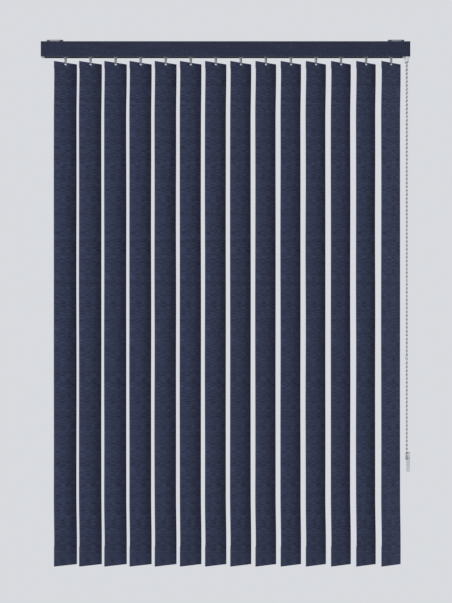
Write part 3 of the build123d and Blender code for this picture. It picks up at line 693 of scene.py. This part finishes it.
def weld_group():
    """A weld pressed across the cloth: a band at one place along it, broken into dashes."""
    tree, given, made = new_group(
        "weld",
        [("Vector", VECTOR, None), ("Place", FLOAT, 0.0), ("Width", FLOAT, 0.002), ("Dash", FLOAT, 0.0016)],
        [("Mask", FLOAT)],
    )
    split = add(tree, "ShaderNodeSeparateXYZ", {0: given.outputs["Vector"]})
    away = maths(tree, "ABSOLUTE", maths(tree, "SUBTRACT", split.outputs[1], given.outputs["Place"]))
    share = maths(tree, "DIVIDE", away, given.outputs["Width"])
    band = add(tree, "ShaderNodeMapRange", {0: share, 1: 0.5, 2: 0.3})
    turn = maths(tree, "MULTIPLY", maths(tree, "DIVIDE", split.outputs[0], given.outputs["Dash"]), math.pi)
    dash = add(tree, "ShaderNodeMapRange", {0: maths(tree, "SINE", turn), 1: -0.3, 2: 0.3})
    tree.links.new(maths(tree, "MULTIPLY", band.outputs[0], dash.outputs[0]), made.inputs["Mask"])
    return tree


def grain_group():
    """Moulding grain: fine noise for the surface and a slow one for its tone."""
    tree, given, made = new_group(
        "moulding grain",
        [("Vector", VECTOR, None), ("Fine", FLOAT, 1800.0), ("Slow", FLOAT, 40.0)],
        [("Height", FLOAT), ("Tone", FLOAT)],
    )
    place = given.outputs["Vector"]
    fine = add(tree, "ShaderNodeTexNoise", {"Vector": place, "Scale": given.outputs["Fine"]})
    slow = add(tree, "ShaderNodeTexNoise", {"Vector": place, "Scale": given.outputs["Slow"]})
    tree.links.new(fine.outputs[0], made.inputs["Height"])
    tree.links.new(slow.outputs[0], made.inputs["Tone"])
    return tree


WEAVE, SLUB, FLECKS = weave_group(), slub_group(), fleck_group()
WELD, GRAIN = weld_group(), grain_group()

# %% [markdown]
# ## Cloth finish
# The louvers are a dense navy cloth. Close up it is a plain weave, with painted shade that makes
# the threads' raised backs lighter and the hollows between them darker; from a few metres its uneven
# weft shows as faint level streaks, crossed by staggered flecks. Each weld is a row of small
# pressed dashes. A little sheen stands for the fibres that stand up from the threads.


# %% Cloth materials
def shader_of(name):
    """A new material and its tree, Principled shader and output."""
    material = bpy.data.materials.new(name)
    material.use_nodes = True
    tree = material.node_tree
    return material, tree, tree.nodes["Principled BSDF"]


def two_tone(tree, mask, dark, light):
    """A colour between two, by a mask."""
    node = add(tree, "ShaderNodeMix", {0: mask, 6: (*dark, 1), 7: (*light, 1)}, data_type="RGBA")
    return node.outputs[2]


WARP, WEFT = 0.0007, 0.0009
WELD_DARK, WELD_DEEP = 0.25, 1.5  # how far a weld lowers the tone, and the height of the cloth
WIDE_LENGTH, WIDE_SPACING = 6, 9  # a slow streak against a streak
SLUB_HEIGHT = 0.5


def cloth_material(name, dark, light, shares, streak, fleck, welds=()):
    """Woven cloth on flat coordinates. The shares of thread, streak, slow streak and fleck in its
    tone add up to one; the thread share is painted shade, lighter on the threads' raised backs and
    darker in the hollows between them. Streak is (length, spacing), fleck is (across, up, size), and
    each weld is (its place along the cloth, its width)."""
    material, tree, shader = shader_of(name)
    flat = add(tree, "ShaderNodeUVMap", uv_map="cloth").outputs[0]
    weave = use_group(tree, WEAVE, Vector=flat, Warp=WARP, Weft=WEFT)
    slub = use_group(tree, SLUB, Vector=flat, Length=streak[0], Spacing=streak[1])
    slow_size = {"Length": streak[0] * WIDE_LENGTH, "Spacing": streak[1] * WIDE_SPACING}
    wide = use_group(tree, SLUB, Vector=flat, **slow_size)
    # Painted shade: the thread share makes the tone lighter on the threads' raised backs and darker in the
    # hollows between them.
    thread = maths(tree, "MULTIPLY", weave.outputs["Height"], shares[0])
    streaks = maths(tree, "MULTIPLY", slub.outputs["Mask"], shares[1])
    slow = maths(tree, "MULTIPLY", wide.outputs["Mask"], shares[2])
    tone = maths(tree, "ADD", maths(tree, "ADD", thread, streaks), slow)
    flecks = use_group(tree, FLECKS, Vector=flat, Across=fleck[0], Up=fleck[1], Size=fleck[2])
    threads = maths(tree, "ADD", maths(tree, "MULTIPLY", weave.outputs["Over"], 0.5), 0.5)
    lifted = maths(tree, "MULTIPLY", flecks.outputs["Mask"], threads)
    tone = maths(tree, "ADD", tone, maths(tree, "MULTIPLY", lifted, shares[3]))
    pressed = 0.0
    for place, width in welds:
        weld = use_group(tree, WELD, Vector=flat, Place=place, Width=width)
        pressed = maths(tree, "ADD", weld.outputs["Mask"], pressed)
    tone = maths(tree, "SUBTRACT", tone, maths(tree, "MULTIPLY", pressed, WELD_DARK))
    colour = two_tone(tree, tone, dark, light)
    tree.links.new(colour, shader.inputs["Base Color"])
    rough = add(tree, "ShaderNodeMapRange", {0: weave.outputs["Height"], 3: 0.92, 4: 0.78})
    tree.links.new(rough.outputs[0], shader.inputs["Roughness"])
    slubs = maths(tree, "MULTIPLY", slub.outputs["Mask"], SLUB_HEIGHT)
    raised = maths(tree, "ADD", slubs, flecks.outputs["Mask"])
    woven = maths(tree, "ADD", weave.outputs["Height"], raised)
    height = maths(tree, "SUBTRACT", woven, maths(tree, "MULTIPLY", pressed, WELD_DEEP))
    bump = add(tree, "ShaderNodeBump", {"Strength": 0.55, "Distance": 0.2 * MM, "Height": height})
    tree.links.new(bump.outputs[0], shader.inputs["Normal"])
    shader.inputs["Sheen Weight"].default_value = 0.03
    shader.inputs["Sheen Roughness"].default_value = 0.5
    shader.inputs["Specular IOR Level"].default_value = 0.12
    return material


LOUVER_TONES = ((0.0030, 0.0042, 0.0115), (0.0500, 0.0635, 0.1270))
FASCIA_TONES = ((0.0010, 0.0015, 0.0045), (0.0350, 0.0450, 0.0930))
# The first share, for the threads, is painted shade: darker in the hollows of the weave, lighter on the
# thread backs.
LOUVER_SHARES = (0.09, 0.44, 0.09, 0.38)
FASCIA_SHARES = (0.06, 0.10, 0.05, 0.79)
LOUVER_PATTERN = ((0.022, 0.0018), (0.0038, 0.0057, 0.9))
FASCIA_PATTERN = ((0.014, 0.0020), (0.0060, 0.0038, 0.9))
front_depth, front_place = -cloth_path[front_rows, 1], cloth_along[front_rows]
low_place = float(np.interp(LOW_WELD / 2 - low_cut, front_depth, front_place))
top_place = float(np.interp(-TOP_WELD / 2 - top_cut, front_depth, front_place))
LOUVER_WELDS = (
    (TOP_WELD / 2, TOP_WELD),
    (top_place, TOP_WELD),
    (low_place, LOW_WELD),
    (float(CUT_LENGTH) - LOW_WELD / 2, LOW_WELD),
)
louver_cloth = cloth_material("louver cloth", *LOUVER_TONES, LOUVER_SHARES, *LOUVER_PATTERN, LOUVER_WELDS)
fascia_cloth = cloth_material("fascia cloth", *FASCIA_TONES, FASCIA_SHARES, *FASCIA_PATTERN)
for n in NUMBERS:
    louvers[n].data.materials.append(louver_cloth)
fascia.data.materials.append(fascia_cloth)

# %% [markdown]
# ## Mouldings and metal
# Moulded plastics differ in tone, gloss and grain. The headrail and the brackets are powder
# coated, which leaves a dull, fine orange-peel. The rod and the pins are drawn along their
# length, so their marks are long and thin.


# %% Moulded and metal materials
def moulding(name, dark, light, rough, fine=1800.0, slow=40.0, bump=0.15, coat=0.0, gloss=0.5):
    """A moulded plastic or a painted surface, mottled between two tones."""
    material, tree, shader = shader_of(name)
    place = add(tree, "ShaderNodeTexCoord").outputs["Object"]
    grain = use_group(tree, GRAIN, Vector=place, Fine=fine, Slow=slow)
    tree.links.new(two_tone(tree, grain.outputs["Tone"], dark, light), shader.inputs["Base Color"])
    spread = add(tree, "ShaderNodeMapRange", {0: grain.outputs["Tone"], 3: rough * 0.85, 4: rough * 1.15})
    tree.links.new(spread.outputs[0], shader.inputs["Roughness"])
    height = grain.outputs["Height"]
    relief = add(tree, "ShaderNodeBump", {"Strength": bump, "Distance": 0.05 * MM, "Height": height})
    tree.links.new(relief.outputs[0], shader.inputs["Normal"])
    shader.inputs["Coat Weight"].default_value = coat
    shader.inputs["Specular IOR Level"].default_value = gloss
    return material


def metal(name, dark, light, rough, stretch, scale):
    """A metal with marks drawn out by stretch, as (x, y, z) scales of its noise."""
    material, tree, shader = shader_of(name)
    place = add(tree, "ShaderNodeTexCoord").outputs["Object"]
    turned = add(tree, "ShaderNodeMapping", {"Vector": place, "Scale": stretch})
    marks = add(tree, "ShaderNodeTexNoise", {"Vector": turned.outputs[0], "Scale": scale, "Detail": 4.0})
    tree.links.new(two_tone(tree, marks.outputs[0], dark, light), shader.inputs["Base Color"])
    spread = add(tree, "ShaderNodeMapRange", {0: marks.outputs[0], 3: rough * 0.7, 4: rough * 1.3})
    tree.links.new(spread.outputs[0], shader.inputs["Roughness"])
    height = marks.outputs[0]
    relief = add(tree, "ShaderNodeBump", {"Strength": 0.2, "Distance": 0.03 * MM, "Height": height})
    tree.links.new(relief.outputs[0], shader.inputs["Normal"])
    shader.inputs["Metallic"].default_value = 1.0
    return material


NAVY_COAT = ((0.006, 0.011, 0.030), (0.010, 0.016, 0.042))
powder_coat = moulding("powder coat", *NAVY_COAT, 0.6, fine=900.0, slow=12.0, bump=0.35, gloss=0.12)
strip_plastic = moulding("strip plastic", (0.030, 0.035, 0.055), (0.045, 0.052, 0.078), 0.6, gloss=0.15)
grey_moulding = moulding("grey moulding", (0.36, 0.38, 0.42), (0.44, 0.46, 0.50), 0.40)
hook_plastic = moulding("hook plastic", (0.15, 0.155, 0.165), (0.20, 0.205, 0.22), 0.34, coat=0.1)
clear_moulding = moulding("pale moulding", (0.20, 0.21, 0.22), (0.30, 0.31, 0.32), 0.2, coat=0.3)
acetal = moulding("acetal", (0.46, 0.48, 0.50), (0.54, 0.56, 0.58), 0.38)
nylon = moulding("nylon", (0.66, 0.66, 0.62), (0.78, 0.78, 0.74), 0.35)
insert_plastic = moulding("insert plastic", (0.60, 0.61, 0.62), (0.72, 0.73, 0.74), 0.4)
GREY_COAT = ((0.055, 0.058, 0.066), (0.105, 0.110, 0.120))
bracket_steel = moulding("bracket steel", *GREY_COAT, 0.45, fine=700.0, slow=60.0, bump=0.3)
drawn_rod = metal("drawn rod", (0.50, 0.51, 0.53), (0.72, 0.73, 0.75), 0.25, (2, 260, 260), 4.0)
pin_steel = metal("pin steel", (0.45, 0.45, 0.46), (0.62, 0.62, 0.63), 0.2, (260, 2, 260), 4.0)
BEAD_GREY = ((0.04, 0.04, 0.046), (0.17, 0.175, 0.19))
bead_plastic = moulding("bead plastic", *BEAD_GREY, 0.2, slow=160.0, coat=0.6)

finishes = {
    "headrail": powder_coat,
    "fascia_panel": strip_plastic,
    "mounting_brackets": bracket_steel,
    "end_cap": grey_moulding,
    "control_housing": grey_moulding,
    "idle_pulley": nylon,
    "drive_pulley": nylon,
    "pulley_pins": pin_steel,
    "tilt_rod": drawn_rod,
    "chain_wheel": nylon,
    "rod_gear": nylon,
    "chain_guide": clear_moulding,
    "chain_connector": clear_moulding,
    "tidy_body": clear_moulding,
    "tidy_pulley": nylon,
    "tidy_cover": clear_moulding,
}
finishes |= {f"carrier_{n}": acetal for n in NUMBERS}
finishes |= {f"hook_{n}": hook_plastic for n in NUMBERS}
for name, material in finishes.items():
    mesh = nodes[name].data
    mesh.materials.clear()
    mesh.materials.append(material)
chain.data.materials.append(bead_plastic)
for n in NUMBERS:
    hangers[n].data.materials.append(insert_plastic)
    weights[n].data.materials.append(insert_plastic)
    worms[n].data.materials.append(nylon)
print(len(bpy.data.materials), "materials")

# %% [markdown]
# ## Light
# The blind hangs in a plain pale room of light. A big soft light stands in front and to the
# left, a weaker one to the right, and a pale sky fills the rest, as in a product studio.


# %% Lights and sky
def soft_light(name, place, target, size, watts):
    """A square area light at a place, aimed at a target."""
    data = bpy.data.lights.new(name, "AREA")
    data.size = size
    data.energy = watts
    lamp = bpy.data.objects.new(name, data)
    lamp.location = place
    toward = np.array(target) - np.array(place)
    flat_length = math.hypot(toward[0], toward[1])
    turn = math.atan2(toward[1], toward[0]) - math.pi / 2
    lamp.rotation_euler = (math.atan2(flat_length, -toward[2]), 0, turn)
    bpy.context.scene.collection.objects.link(lamp)


middle_z = (cad_low[2] + cad_high[2]) / 2
soft_light("key", (-4.5, -8.0, 1.2), (0, 0, middle_z), size=3.4, watts=1300)
soft_light("fill", (5.0, -7.4, 0.2), (0, 0, middle_z), size=3.0, watts=170)
world = bpy.data.worlds.new("sky")
world.use_nodes = True
world.node_tree.nodes["Background"].inputs["Color"].default_value = (0.86, 0.88, 0.92, 1)
world.node_tree.nodes["Background"].inputs["Strength"].default_value = 0.8
bpy.context.scene.world = world
bpy.context.scene.view_settings.view_transform = "Standard"

# %% [markdown]
# ## Floor
# A blind hangs from a ceiling, so nothing stands under it but the floor of the room. A plain pale
# sheet lies at a usual room's height below the brackets. It isn't part of the blind: it throws
# back a little light, and it is low enough to leave the hems in view from below.

# %% Lay the floor
ROOM_HEIGHT = 2.4
FLOOR_HALF = 3.2
corners = np.array([[-1, -1, 0], [1, -1, 0], [1, 1, 0], [-1, 1, 0]]) * FLOOR_HALF - [0, 0, ROOM_HEIGHT]
floor = put_mesh("floor", corners, np.array([[0, 1, 2, 3]]), smooth=False)
pale_floor, _, floor_shader = shader_of("pale floor")
floor_shader.inputs["Base Color"].default_value = (0.60, 0.61, 0.63, 1)
floor_shader.inputs["Roughness"].default_value = 0.9
floor_shader.inputs["Specular IOR Level"].default_value = 0.1
floor.data.materials.append(pale_floor)
print("floor", ROOM_HEIGHT, "m below the ceiling")

# %% Write the sizes and finish
print("cad", list(cad_low), list(cad_high))
